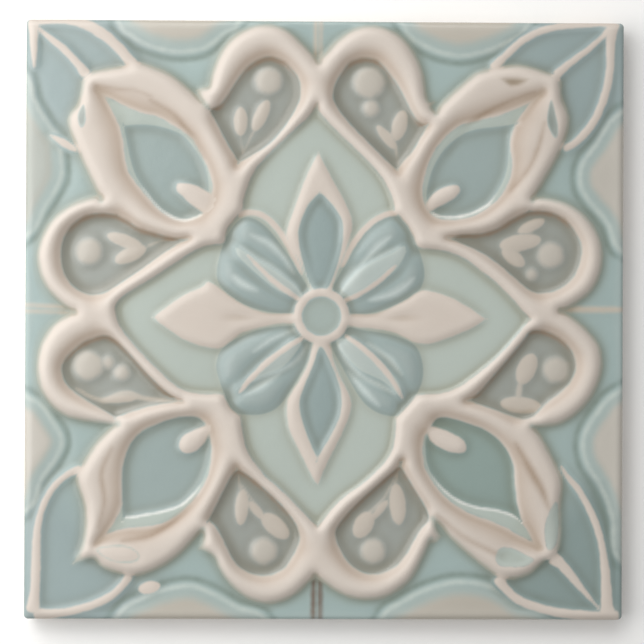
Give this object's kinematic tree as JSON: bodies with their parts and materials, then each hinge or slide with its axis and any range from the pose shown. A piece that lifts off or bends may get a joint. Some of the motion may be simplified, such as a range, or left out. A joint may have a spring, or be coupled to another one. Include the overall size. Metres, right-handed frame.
{
  "type": "printed floral tile",
  "caption": "Square glazed ceramic wall tile with a low pressed floral relief, its pattern printed in pastel glaze colours, for bedding on its flat back.",
  "frame": {"origin": "centre of the flat back face, on the surface the tile lies on", "axes": "+Z out of the glazed face, +X to the right and +Y up as the decor is seen"},
  "size_m": [0.1524, 0.1524, 0.0085],
  "materials": {
    "glazed_tile": "gloss"
  },
  "bodies": {
    "root": {"tile": "glazed_tile"}
  },
  "joints": []
}
